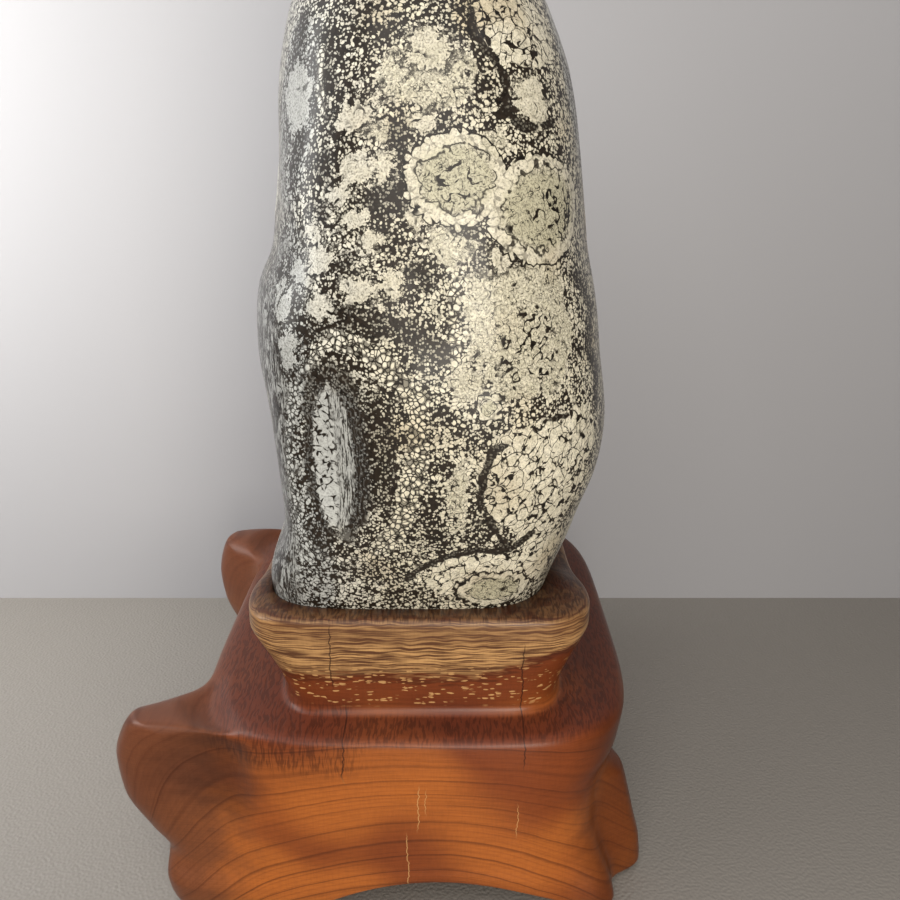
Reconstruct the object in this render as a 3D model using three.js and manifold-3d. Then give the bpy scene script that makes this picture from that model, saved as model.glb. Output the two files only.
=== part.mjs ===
// A flower-patterned ornamental stone standing end-on in a carved wooden stand.
// Millimetres, +Z up, +X to the right and +Y away from the viewer, origin on the
// floor under the middle of the whole object.

import * as THREE from 'three';
import { ParametricGeometry } from 'three/addons/geometries/ParametricGeometry.js';
import { mergeVertices } from 'three/addons/utils/BufferGeometryUtils.js';
import Module from 'manifold-3d';

const wasm = await Module();
wasm.setup();

// Stone: an upright slab around a vertical axis

const STONE_AXIS_X = 20;
const STONE_BOTTOM = 104;
const STONE_TOP = 397;
const STONE_WIDEST = 215;
const STONE_FOOT_POWER = 6;
const STONE_CROWN_POWER = 3.6;
const STONE_SLICES = 56;
const STONE_STACKS = 28;

// height, then the reach left, right, front and back of the axis, then how square
// the plan is on the left and on the right
const STONE_PLAN = [
  [104, 71, 49, 84, 84, 5, 4],
  [140, 71, 56.5, 90, 90, 5.5, 4],
  [165, 62.5, 65.5, 96, 95, 5, 3.6],
  [190, 63.5, 75, 101, 98, 4.2, 3.4],
  [212, 67, 77, 103, 99, 3.6, 3.2],
  [240, 71, 73.5, 102, 99, 3.3, 3.1],
  [262, 71, 70, 101, 98, 3.0, 3.0],
  [282, 63.5, 66.5, 99.5, 96, 3.0, 3.0],
  [330, 62.5, 64, 96, 93, 2.9, 2.9],
  [397, 69, 55, 92, 88, 2.7, 2.7],
];

// Long hollow worn into the left of the front face
const HOLLOW = { angle: 249, height: 205, halfAngle: 8, halfHeight: 29, depth: 6 };

// Nest cut in the stand: the stone, this much larger about its middle
const NEST_SCALE = 1.006;
const STONE_MIDDLE = (STONE_BOTTOM + STONE_TOP) / 2;

// Stand: one carved block, a skin through closed rings from the top down

const STAND_AXIS_X = 15;
const STAND_SLICES = 80;
const CORNER_CROWDING = 0.5;
const ARCH_MIDDLE_X = 24;
const ARCH_HALF = 60;
const SIDE_ARCH_HALF = 62;
const COLLAR_RINGS = 7;

// height, then the reach left, right, front and back of the axis, then how square
// the ring is; how far an arch lifts it; for the collar rings, how far the right
// side draws in and the rim drops beside the stone
const RINGS = [
  { at: [137, 54, 50, 80, 80, 6], lift: 0, waist: [2, 9] },
  { at: [137, 68, 71.5, 95, 95, 7], lift: 0, waist: [4, 9] },
  { at: [134.5, 71.5, 75, 97.5, 97.5, 8], lift: 0, waist: [4, 9] },
  { at: [128, 71.5, 75, 98, 97.5, 8], lift: 0, waist: [4, 8] },
  { at: [104, 60, 65, 94.5, 94, 8], lift: 0, waist: [2, 4] },
  { at: [95, 57.5, 62.5, 94, 93, 8], lift: 0, waist: [1, 0] },
  { at: [91, 61, 65, 97, 96, 7], lift: 0, waist: [1, 0] },
  { at: [90.5, 84, 86, 108, 108, 4.8], lift: 0 },
  { at: [88.5, 93, 92.5, 112, 112, 4.5], lift: 0 },
  { at: [84, 95.5, 94.5, 113, 113, 4.5], lift: 0 },
  { at: [72, 96, 92.5, 113.5, 113.5, 4.5], lift: 0 },
  { at: [56, 96, 86, 113.5, 113.5, 4.5], lift: 0 },
  { at: [48, 95.5, 84, 113.5, 113.5, 4.8], lift: 0 },
  { at: [36, 95, 83.5, 113.5, 113.5, 4.8], lift: 1 },
  { at: [24, 94.5, 85.5, 113.5, 113.5, 4.8], lift: 5 },
  { at: [13, 95, 89, 114, 114.5, 4.8], lift: 11 },
  { at: [4, 95, 91, 113.5, 114, 4.8], lift: 17 },
  { at: [0, 91, 88, 110, 110, 4.8], lift: 20 },
  { at: [0, 72, 80, 88, 88, 4], lift: 21 },
  { at: [20, 60, 56, 76, 76, 3.2], lift: 0 },
];

// Carved lobes: where on the ring they grow, how wide and how blunt they are, the
// way they point, how far they stand out of each ring and how far they raise it
const LOBES = [
  { angle: 224.5, half: 8.6, power: 2.8, way: 187,
    out: { 8: 3, 9: 16, 10: 30, 11: 40, 12: 38, 13: 28, 14: 17, 15: 9, 16: 6, 17: 4 },
    up: { 8: -4, 9: 4, 10: 16, 11: 13, 12: 5 } },
  { angle: 234, half: 3, power: 2, way: 50, out: { 9: 2, 10: 5, 11: 5, 12: 3, 13: 1 }, up: {} },
  { angle: 228, half: 9, power: 2.6, way: 212,
    out: { 13: 2, 14: 6, 15: 16, 16: 17, 17: 15, 18: 6 }, up: {} },
  { angle: 136.5, half: 9.4, power: 2.9, way: 171,
    out: { 8: 4, 9: 16, 10: 28, 11: 35, 12: 33, 13: 24, 14: 15, 15: 8, 16: 6, 17: 4 },
    up: { 8: -1, 9: 8, 10: 19, 11: 14, 12: 6 } },
  { angle: 131, half: 9, power: 2.6, way: 148,
    out: { 13: 2, 14: 6, 15: 16, 16: 17, 17: 15, 18: 6 }, up: {} },
  { angle: 307, half: 5, power: 2.4, way: 325,
    out: { 13: 1, 14: 4, 15: 8, 16: 10, 17: 10 }, up: {} },
  { angle: 320, half: 6, power: 3, way: 345,
    out: { 11: 3, 12: 11, 13: 15, 14: 16, 15: 15.5, 16: 14.5, 17: 13, 18: 4 }, up: {} },
  { angle: 40, half: 8, power: 3, way: 8,
    out: { 12: 6, 13: 11, 14: 13, 15: 13, 16: 13, 17: 12, 18: 4 }, up: {} },
];

// Where the skin has its rows, counted in rings from the top
const STATIONS = [
  0, 1, 1.5, 2, 2.5, 3, 3.5, 4, 5, 5.5, 6, 7, 7.5, 8, 8.5, 9, 9.5, 10, 10.5, 11,
  11.5, 12, 12.5, 13, 13.5, 14, 14.5, 15, 15.5, 16, 17, 18, 18.5, 19,
];
const TOP_POLE = new THREE.Vector3(STAND_AXIS_X, 0, 126);
const HOLLOW_POLE = new THREE.Vector3(STAND_AXIS_X, 0, 23);

const TURN = Math.PI * 2;
const radians = THREE.MathUtils.degToRad;

// Distance from the axis to a rounded oblong with its own reach on each side
function oblong(angle, [left, right, front, back, squareLeft, squareRight = squareLeft]) {
  const c = Math.cos(angle);
  const s = Math.sin(angle);
  const power = c > 0 ? squareRight : squareLeft;
  const across = Math.abs(c) / (c > 0 ? right : left);
  const along = Math.abs(s) / (s > 0 ? back : front);
  return (across ** power + along ** power) ** (-1 / power);
}

// Smooth curve through a table's rows, the first column being where each row is
function throughRows(rows, x) {
  const last = rows.length - 1;
  let i = 0;
  while (i < last - 1 && x > rows[i + 1][0]) i += 1;
  const span = rows[i + 1][0] - rows[i][0];
  const t = THREE.MathUtils.clamp((x - rows[i][0]) / span, 0, 1);
  const slope = (k, c) => {
    const a = rows[Math.max(k - 1, 0)];
    const b = rows[Math.min(k + 1, last)];
    return (b[c] - a[c]) / (b[0] - a[0]);
  };
  return rows[0].slice(1).map((_, n) => {
    const c = n + 1;
    return hermite(rows[i][c], rows[i + 1][c], slope(i, c) * span, slope(i + 1, c) * span, t);
  });
}

function hermite(a, b, da, db, t) {
  const t2 = t * t;
  const t3 = t2 * t;
  return (2 * t3 - 3 * t2 + 1) * a + (t3 - 2 * t2 + t) * da
    + (-2 * t3 + 3 * t2) * b + (t3 - t2) * db;
}

function turnBetween(a, b) {
  return THREE.MathUtils.euclideanModulo(a - b + Math.PI, TURN) - Math.PI;
}

// Stone

function stoneRadius(angle, z) {
  const above = Math.max(0, (z - STONE_WIDEST) / (STONE_TOP - STONE_WIDEST));
  const below = Math.max(0, (STONE_WIDEST - z) / (STONE_WIDEST - STONE_BOTTOM));
  const crown = Math.max(0, 1 - above ** STONE_CROWN_POWER) ** (1 / STONE_CROWN_POWER);
  const foot = Math.max(0, 1 - below ** STONE_FOOT_POWER) ** (1 / STONE_FOOT_POWER);
  const sideways = turnBetween(angle, radians(HOLLOW.angle)) / radians(HOLLOW.halfAngle);
  const upward = (z - HOLLOW.height) / HOLLOW.halfHeight;
  const worn = Math.exp(-(Math.abs(sideways) ** 2.6) - Math.abs(upward) ** 2.6);
  return oblong(angle, throughRows(STONE_PLAN, z)) * crown * foot - HOLLOW.depth * worn;
}

function stonePoint(u, v, target) {
  const angle = u * TURN;
  const rise = -Math.cos(Math.PI * THREE.MathUtils.clamp(v, 0, 1));
  const spread = Math.sign(rise) * Math.abs(rise) ** 0.6;
  const reach = spread > 0 ? STONE_TOP - STONE_WIDEST : STONE_WIDEST - STONE_BOTTOM;
  const z = STONE_WIDEST + spread * reach;
  const r = stoneRadius(angle, z);
  target.set(STONE_AXIS_X + r * Math.cos(angle), r * Math.sin(angle), z);
}

// Stand

function archLift(x, y) {
  const { smoothstep } = THREE.MathUtils;
  const ends = Math.max(1 - ((x - ARCH_MIDDLE_X) / ARCH_HALF) ** 2, 0);
  const sides = Math.max(1 - (y / SIDE_ARCH_HALF) ** 2, 0);
  const lift = ends * smoothstep(Math.abs(y), 50, 85)
    + sides * smoothstep(Math.abs(x - STAND_AXIS_X), 45, 75);
  return Math.min(lift, 1);
}

function ringPoint(index, angle) {
  const ring = RINGS[index];
  let r = oblong(angle, ring.at.slice(1));
  let z = ring.at[0];
  if (index < COLLAR_RINGS) {
    const side = Math.exp(-(Math.abs(Math.sin(angle) / 0.62) ** 6));
    r -= Math.cos(angle) > 0 ? side * ring.waist[0] : 0;
    z -= side * ring.waist[1];
  }
  let x = STAND_AXIS_X + r * Math.cos(angle);
  let y = r * Math.sin(angle);
  z += ring.lift * archLift(x, y);
  for (const lobe of LOBES) {
    const off = turnBetween(angle, radians(lobe.angle)) / radians(lobe.half);
    const share = Math.exp(-(Math.abs(off) ** lobe.power));
    const out = (lobe.out[index] ?? 0) * share;
    x += out * Math.cos(radians(lobe.way));
    y += out * Math.sin(radians(lobe.way));
    z += (lobe.up[index] ?? 0) * share;
  }
  return new THREE.Vector3(x, y, z);
}

// Slope of the skin at a ring: none where the rings turn back on themselves
function easedSlope(before, here, after) {
  const a = here - before;
  const b = after - here;
  return a * b > 0 ? (2 * a * b) / (a + b) : 0;
}

function skinPoint(station, angle) {
  const last = RINGS.length - 1;
  const i = Math.min(Math.floor(station), last - 1);
  const t = station - i;
  const [p0, p1, p2, p3] = [i - 1, i, i + 1, i + 2].map((k) => (
    k < 0 || k > last ? null : ringPoint(k, angle)));
  const along = (key) => {
    const step = p2[key] - p1[key];
    const da = p0 ? easedSlope(p0[key], p1[key], p2[key]) : step;
    const db = p3 ? easedSlope(p1[key], p2[key], p3[key]) : step;
    return hermite(p1[key], p2[key], da, db, t);
  };
  return new THREE.Vector3(along('x'), along('y'), along('z'));
}

// Rows are closer together at the corners, where the lobes are
function standAngle(u) {
  return TURN * u + CORNER_CROWDING * Math.sin(4 * TURN * u) / 4;
}

function standPoint(u, v, target) {
  const rows = STATIONS.length + 1;
  const row = rows - THREE.MathUtils.clamp(v, 0, 1) * rows;
  const low = Math.min(Math.floor(row + 1e-9), rows - 1);
  const place = (k) => {
    if (k === 0) return TOP_POLE;
    if (k === rows) return HOLLOW_POLE;
    return skinPoint(STATIONS[k - 1], standAngle(u));
  };
  target.lerpVectors(place(low), place(low + 1), row - low);
}

// Solids

function toSolid(geometry) {
  const bare = geometry.clone();
  bare.deleteAttribute('normal');
  bare.deleteAttribute('uv');
  const merged = mergeVertices(bare, 1e-3);
  const index = merged.index.array;
  const kept = [];
  for (let i = 0; i < index.length; i += 3) {
    const [a, b, c] = index.slice(i, i + 3);
    if (a !== b && b !== c && c !== a) kept.push(a, b, c);
  }
  return new wasm.Manifold(new wasm.Mesh({
    numProp: 3,
    vertProperties: new Float32Array(merged.attributes.position.array),
    triVerts: new Uint32Array(kept),
  }));
}

function toMesh(name, solid, colour, roughness) {
  const { vertProperties, triVerts } = solid.getMesh();
  const geometry = new THREE.BufferGeometry();
  geometry.setAttribute('position', new THREE.BufferAttribute(vertProperties, 3));
  geometry.setIndex(new THREE.BufferAttribute(triVerts, 1));
  geometry.computeVertexNormals();
  const material = new THREE.MeshStandardMaterial({ color: colour, roughness, metalness: 0 });
  const mesh = new THREE.Mesh(geometry, material);
  mesh.name = name;
  return mesh;
}

const stoneGeometry = new ParametricGeometry(stonePoint, STONE_SLICES, STONE_STACKS);
const standGeometry = new ParametricGeometry(standPoint, STAND_SLICES, STATIONS.length + 1);
const nestGeometry = stoneGeometry.clone()
  .translate(-STONE_AXIS_X, 0, -STONE_MIDDLE)
  .scale(NEST_SCALE, NEST_SCALE, NEST_SCALE)
  .translate(STONE_AXIS_X, 0, STONE_MIDDLE);

const stone = toSolid(stoneGeometry);
const stand = toSolid(standGeometry).subtract(toSolid(nestGeometry));

const object = new THREE.Group();
object.name = 'chrysanthemum_stone';
object.add(toMesh('stone', stone, 0xb4b1a4, 0.3));
object.add(toMesh('stand', stand, 0x8a4b29, 0.35));

export default object;
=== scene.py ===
"""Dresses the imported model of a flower-patterned stone standing in a carved wooden stand.

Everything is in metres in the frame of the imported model: +Z up, +X to the right, +Y away from
the viewer. Shapes are worked out in millimetres and become metres when a mesh is made.
"""
import logging
import math
from dataclasses import dataclass, field
from enum import Enum

import bpy
import numpy as np
import numpy.typing as npt
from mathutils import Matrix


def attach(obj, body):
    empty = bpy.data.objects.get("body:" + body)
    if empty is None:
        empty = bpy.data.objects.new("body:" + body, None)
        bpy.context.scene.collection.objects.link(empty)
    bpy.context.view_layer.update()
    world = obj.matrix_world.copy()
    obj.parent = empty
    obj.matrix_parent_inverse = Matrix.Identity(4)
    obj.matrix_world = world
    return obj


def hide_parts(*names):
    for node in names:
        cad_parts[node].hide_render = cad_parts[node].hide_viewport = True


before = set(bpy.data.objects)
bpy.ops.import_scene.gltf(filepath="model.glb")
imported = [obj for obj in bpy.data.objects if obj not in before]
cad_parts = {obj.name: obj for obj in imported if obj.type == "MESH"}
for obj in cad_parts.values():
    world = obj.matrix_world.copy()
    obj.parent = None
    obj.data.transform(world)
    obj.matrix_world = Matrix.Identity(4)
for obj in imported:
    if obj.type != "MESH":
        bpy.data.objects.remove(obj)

Array = npt.NDArray[np.float64]
Colour = tuple[float, float, float]
Place = tuple[float, float, float]

LOG = logging.getLogger("chrysanthemum_stone")
MM = 0.001
TURN = 2.0 * math.pi
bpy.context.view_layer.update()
FAR = 9.0  # mm: depths and distances on the stone are kept no further than this


# Shared curves


def hermite(a: Array, b: Array, da: Array, db: Array, t: Array) -> Array:
    """The cubic between two ends with a slope at each.

    Args:
        a, b: the ends.
        da, db: the slopes at the ends.
        t: how far along, from 0 to 1.

    Returns:
        The values at t.
    """
    t2, t3 = t * t, t * t * t
    leaving = (2 * t3 - 3 * t2 + 1) * a + (t3 - 2 * t2 + t) * da
    return leaving + (3 * t2 - 2 * t3) * b + (t3 - t2) * db


def smooth(x: Array, low: float, high: float) -> Array:
    """0 below low, 1 above high, with an easy curve between."""
    t = np.clip((x - low) / (high - low), 0.0, 1.0)
    return t * t * (3.0 - 2.0 * t)


def turn_between(a: Array, b: float) -> Array:
    """The turn from b to a, from -pi to pi."""
    return np.mod(a - b + math.pi, TURN) - math.pi


def through_rows(rows: Array, x: Array) -> Array:
    """A smooth curve through the rows of a table.

    Formula: a cubic in each span, whose slope at a row is that of the line from the row before
    to the row after.

    Args:
        rows: the table, whose first column says where each row is.
        x: where the curve is wanted.

    Returns:
        The other columns at x, one more axis than x has.
    """
    places, values = rows[:, 0], rows[:, 1:]
    slopes = np.empty_like(values)
    slopes[1:-1] = (values[2:] - values[:-2]) / (places[2:] - places[:-2])[:, None]
    slopes[0] = (values[1] - values[0]) / (places[1] - places[0])
    slopes[-1] = (values[-1] - values[-2]) / (places[-1] - places[-2])
    i = np.clip(np.searchsorted(places, x) - 1, 0, len(places) - 2)
    span = (places[i + 1] - places[i])[..., None]
    t = np.clip((x - places[i])[..., None] / span, 0.0, 1.0)
    return hermite(values[i], values[i + 1], slopes[i] * span, slopes[i + 1] * span, t)


def oblong(angle: Array, left: Array, right: Array, front: Array, back: Array,
           square_left: Array, square_right: Array) -> Array:
    """Distance from an axis to a rounded oblong with its own reach on each side.

    Formula: (|cos|/across)^p + (|sin|/along)^p = 1 / r^p, where across, along and p are those
    of the side that the angle is on.

    Args:
        angle: direction, from +X towards +Y.
        left, right, front, back: reach of each side.
        square_left, square_right: the power p on each side, 2 for an ellipse.

    Returns:
        The distance r for each angle.
    """
    c, s = np.cos(angle), np.sin(angle)
    power = np.where(c > 0, square_right, square_left)
    across = np.abs(c) / np.where(c > 0, right, left)
    along = np.abs(s) / np.where(s > 0, back, front)
    return (across ** power + along ** power) ** (-1.0 / power)


# Meshes


def closed_skin(name: str, rows: Array, first_pole: Array, last_pole: Array) -> bpy.types.Object:
    """A closed mesh through rings of points, capped by a fan at each pole.

    Args:
        name: name of the piece.
        rows: rings by points by 3, in millimetres, counter-clockwise seen from the last pole.
        first_pole, last_pole: the two closing points, in millimetres.

    Returns:
        The new object, at the origin, its faces pointing outwards.
    """
    count, across = rows.shape[:2]
    points = np.concatenate([rows.reshape(-1, 3), first_pole[None], last_pole[None]]) * MM
    ring = np.arange(across)
    after = np.roll(ring, -1)
    low = (np.arange(count - 1) * across)[:, None]
    quads = np.stack([low + ring, low + after, low + across + after, low + across + ring], -1)
    south = np.stack([np.full(across, count * across), after, ring], -1)
    top = (count - 1) * across
    north = np.stack([np.full(across, count * across + 1), top + ring, top + after], -1)
    mesh = bpy.data.meshes.new(name)
    mesh.vertices.add(len(points))
    mesh.vertices.foreach_set("co", points.ravel())
    corners = np.concatenate([quads.reshape(-1), south.reshape(-1), north.reshape(-1)])
    sizes = np.concatenate([np.full(quads.size // 4, 4), np.full(2 * across, 3)])
    mesh.loops.add(len(corners))
    mesh.loops.foreach_set("vertex_index", corners.astype(np.int32))
    mesh.polygons.add(len(sizes))
    starts = np.concatenate([[0], np.cumsum(sizes)[:-1]])
    mesh.polygons.foreach_set("loop_start", starts.astype(np.int32))
    mesh.update(calc_edges=True)
    mesh.validate()
    mesh.shade_smooth()
    return add_object(name, mesh)


def add_object(name: str, mesh: bpy.types.Mesh) -> bpy.types.Object:
    """Puts a mesh into the scene.

    Args:
        name: name of the new object.
        mesh: its mesh.

    Returns:
        The new object.
    """
    made = bpy.data.objects.new(name, mesh)
    bpy.context.scene.collection.objects.link(made)
    return made


def write_share(made: bpy.types.Object, name: str, rows: Array, first: float, last: float) -> None:
    """Keeps one number for each point of a closed skin as a mesh attribute.

    Args:
        made: the object made by closed_skin.
        name: name that the finish reads.
        rows: one number for each ring and point.
        first, last: the numbers at the two poles.
    """
    values = np.concatenate([rows.ravel(), [first, last]]).astype(np.float32)
    layer = made.data.attributes.new(name, "FLOAT", "POINT")
    layer.data.foreach_set("value", values)


# Finishes: a small language for shader nodes


def rgb(red: float, green: float, blue: float) -> Colour:
    """A colour as linear light.

    Args:
        red, green, blue: its channels as the eye sees them, from 0 to 255.

    Returns:
        The channels from 0 to 1.
    """
    def linear(v: float) -> float:
        """One channel, 0 to 255, as linear light."""
        c = v / 255.0
        return c / 12.92 if c <= 0.04045 else ((c + 0.055) / 1.055) ** 2.4
    return (linear(red), linear(green), linear(blue))


@dataclass(frozen=True)
class Wire:
    """A number, colour or vector on its way through a finish, with plain arithmetic."""

    bench: "Bench"
    socket: bpy.types.NodeSocket

    def __add__(self, other: "Wire | float") -> "Wire":
        """This plus other."""
        return self.bench.math("ADD", self, other)

    def __sub__(self, other: "Wire | float") -> "Wire":
        """This less other."""
        return self.bench.math("SUBTRACT", self, other)

    def __rsub__(self, other: float) -> "Wire":
        """Other less this."""
        return self.bench.math("SUBTRACT", other, self)

    def __mul__(self, other: "Wire | float") -> "Wire":
        """This times other."""
        return self.bench.math("MULTIPLY", self, other)

    def __truediv__(self, other: "Wire | float") -> "Wire":
        """This over other."""
        return self.bench.math("DIVIDE", self, other)

    def size(self) -> "Wire":
        """This without its sign."""
        return self.bench.math("ABSOLUTE", self)

    def most(self, other: "Wire | float") -> "Wire":
        """The greater of this and other."""
        return self.bench.math("MAXIMUM", self, other)

    def least(self, other: "Wire | float") -> "Wire":
        """The smaller of this and other."""
        return self.bench.math("MINIMUM", self, other)

    def part(self) -> "Wire":
        """What follows the whole number, from 0 to 1."""
        return self.bench.math("FRACT", self)

    def rise(self, low: float, high: float) -> "Wire":
        """0 below low, 1 above high, eased between."""
        return self.bench.rise(self, low, high)

    def fall(self, low: float, high: float) -> "Wire":
        """1 below low, 0 above high, eased between."""
        return self.bench.rise(self, high, low)


@dataclass(frozen=True)
class Cells:
    """Cells of a pattern: mm to the nearest gap, mm to the middle, and a tone for each cell."""

    gap: Wire
    middle: Wire
    tone: Wire


Fed = dict[int | str, "Wire | float | Colour"]  # what goes into the sockets of a node


class Bench:
    """Where one finish is put together: it owns a material and adds nodes to it."""

    STRIDE = np.array([17.3, -36.33, 57.09])  # from the place that one noise reads to the next

    def __init__(self, name: str) -> None:
        """Starts an empty material.

        Args:
            name: its name.
        """
        self.material = bpy.data.materials.new(name)
        self.material.use_nodes = True
        self.tree = self.material.node_tree
        self.tree.nodes.clear()
        self.noises = 0

    def node(self, kind: str, fed: Fed, **settings: object) -> bpy.types.Node:
        """Adds a node of that kind.

        Args:
            kind: its type.
            fed: a wire or a value for each of its sockets that needs one.
            settings: its plain settings.

        Returns:
            The node.
        """
        made = self.tree.nodes.new(kind)
        for key, setting in settings.items():
            setattr(made, key, setting)
        for key, value in fed.items():
            socket = made.inputs[key]
            if isinstance(value, Wire):
                self.tree.links.new(value.socket, socket)
            else:
                socket.default_value = (*value, 1.0) if socket.type == "RGBA" else value
        return made

    def wire(self, kind: str, fed: Fed, out: int | str = 0, **settings: object) -> Wire:
        """What comes out of a new node, from its socket out."""
        return Wire(self, self.node(kind, fed, **settings).outputs[out])

    def math(self, kind: str, *values: "Wire | float") -> Wire:
        """One step of arithmetic."""
        return self.wire("ShaderNodeMath", dict(enumerate(values)), operation=kind)

    def rise(self, value: Wire, start: float, end: float) -> Wire:
        """0 on the side of start, 1 on the side of end, eased between."""
        fed = {"Value": value, "From Min": start, "From Max": end}
        return self.wire("ShaderNodeMapRange", fed, interpolation_type="SMOOTHSTEP")

    def blend(self, share: Wire, a: "Wire | float", b: "Wire | float") -> Wire:
        """a where share is 0, b where it is 1, for numbers."""
        return self.wire("ShaderNodeMix", {0: share, 2: a, 3: b}, data_type="FLOAT")

    def tint(self, share: Wire, a: "Wire | Colour", b: "Wire | Colour") -> Wire:
        """a where share is 0, b where it is 1, for colours and points."""
        return self.wire("ShaderNodeMix", {0: share, 6: a, 7: b}, 2, data_type="RGBA")

    def tints(self, colour: "Wire | Colour", *over: tuple[Wire, "Wire | Colour"]) -> Wire:
        """A colour covered by others, one after the other.

        Args:
            colour: the lowest.
            over: the share and the colour of each that covers it.

        Returns:
            What is seen.
        """
        for share, other in over:
            colour = self.tint(share, colour, other)
        return colour

    def shade(self, colour: Wire, amount: "Wire | float") -> Wire:
        """A colour or point made larger or smaller by a factor."""
        return self.wire("ShaderNodeVectorMath", {0: colour, "Scale": amount}, operation="SCALE")

    def place(self) -> Wire:
        """The point on the object in millimetres."""
        return self.shade(self.wire("ShaderNodeTexCoord", {}, "Object"), 1.0 / MM)

    def along(self, point: Wire) -> tuple[Wire, Wire, Wire]:
        """The x, y and z of a point."""
        x, y, z = self.node("ShaderNodeSeparateXYZ", {0: point}).outputs
        return Wire(self, x), Wire(self, y), Wire(self, z)

    def point(self, x: "Wire | float", y: "Wire | float", z: Wire) -> Wire:
        """A point from its x, y and z."""
        return self.wire("ShaderNodeCombineXYZ", {0: x, 1: y, 2: z})

    def stretched(self, point: Wire, sizes: Place) -> Wire:
        """The point measured in grains of that size along x, y and z."""
        return self.wire("ShaderNodeVectorMath", {0: point, 1: sizes}, operation="DIVIDE")

    def cloud(self, point: Wire, size: float, detail: float, rough: float = 0.5) -> Wire:
        """Soft noise around 0.5 whose lumps are about that size."""
        return Wire(self, self._noise(point, size, detail, rough).outputs["Fac"])

    def _noise(self, point: Wire, size: float, detail: float, rough: float) -> bpy.types.Node:
        """A noise that reads a place of its own, so that no two are alike.

        Args:
            point: where it is read.
            size: size of its lumps.
            detail: how many finer layers it has.
            rough: how strong these are.

        Returns:
            The noise node.
        """
        self.noises += 1
        fed = {0: point, 1: tuple(self.STRIDE * self.noises)}
        moved = self.wire("ShaderNodeVectorMath", fed, operation="ADD")
        fed = {"Vector": moved, "Scale": 1.0 / size, "Detail": detail, "Roughness": rough}
        return self.node("ShaderNodeTexNoise", fed, noise_dimensions="3D")

    def bent(self, point: Wire, size: float, reach: float, detail: float = 1.0) -> Wire:
        """A point moved about by noise.

        Args:
            point: the point.
            size: size of the noise's lumps.
            reach: twice the largest move each way.
            detail: how many finer layers the noise has.

        Returns:
            The moved point.
        """
        noise = Wire(self, self._noise(point, size, detail, 0.5).outputs["Color"])
        fed = {0: noise, 1: (reach, reach, reach), 2: point}
        return self.wire("ShaderNodeVectorMath", fed, operation="MULTIPLY_ADD")

    def cells(self, point: Wire, size: float, random: float = 1.0) -> Cells:
        """Cells with gaps between them.

        Args:
            point: where they are read.
            size: their size in millimetres.
            random: 0 for a square grid, 1 for no order.

        Returns:
            The way to the gap and to the middle in millimetres, and a tone for each.
        """
        fed = {"Vector": point, "Scale": 1.0 / size, "Randomness": random}
        edge = self.wire("ShaderNodeTexVoronoi", fed, "Distance", feature="DISTANCE_TO_EDGE")
        near = self.node("ShaderNodeTexVoronoi", fed, feature="F1").outputs
        tone = self.wire("ShaderNodeSeparateColor", {0: Wire(self, near["Color"])})
        return Cells(edge * size, Wire(self, near["Distance"]) * size, tone)

    def share(self, name: str) -> Wire:
        """A number kept on the mesh by write_share."""
        kept = {"attribute_type": "GEOMETRY", "attribute_name": name}
        return self.wire("ShaderNodeAttribute", {}, "Fac", **kept)

    def close(self, colour: "Wire | Colour", rough: "Wire | float",
              height: "Wire | None" = None, depth: float = 0.0, clear_behind: bool = False,
              **fixed: float) -> bpy.types.Material:
        """Ends the finish in one glossy surface.

        Args:
            colour: the base colour.
            rough: the roughness.
            height: relief from 0 to 1, or None for a smooth surface.
            depth: what a height of 1 stands for, in millimetres.
            clear_behind: whether the surface can be looked through from its back.
            fixed: other inputs of the surface by name, underscores for spaces.

        Returns:
            The finished material.
        """
        fed = {key.replace("_", " "): value for key, value in fixed.items()}
        fed |= {"Base Color": colour, "Roughness": rough}
        if height is not None:
            bump = {"Height": height, "Strength": 1.0, "Distance": depth * MM}
            fed["Normal"] = self.wire("ShaderNodeBump", bump)
        surface = self.wire("ShaderNodeBsdfPrincipled", fed)
        if clear_behind:
            behind = self.wire("ShaderNodeNewGeometry", {}, "Backfacing")
            clear = self.wire("ShaderNodeBsdfTransparent", {})
            surface = self.wire("ShaderNodeMixShader", {0: behind, 1: surface, 2: clear})
        self.node("ShaderNodeOutputMaterial", {0: surface})
        return self.material


# Stone


class Growth(Enum):
    """What a place on the stone is made of, and where glare is painted; the value names its mesh
    attribute.
    """

    FLOWER = "flower"
    HEART = "flower_heart"
    CORE = "core"
    FLAKE = "flake"
    BLOCK = "block"
    CREAM = "cream"
    SPARSE = "sparse"
    SALT = "salt"
    EYE = "eye"
    EYE_SIDE = "eye_side"
    HALO = "halo"
    # Painted glare: where grey-white light reflected by the stone is painted into its colour
    PAINTED_GLARE = "painted_glare"
    BORDER = "border"
    FRINGE = "fringe"


@dataclass(frozen=True)
class Spot:
    """A patch of the stone around a place: angle in degrees, the rest in millimetres."""

    angle: float
    height: float
    half_width: float
    half_height: float


def spots(*rows: tuple[float, float, float, float]) -> tuple[Spot, ...]:
    """Patches from rows of angle, height, half width and half height."""
    return tuple(Spot(*row) for row in rows)


Path = tuple[tuple[float, float], ...]


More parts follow.
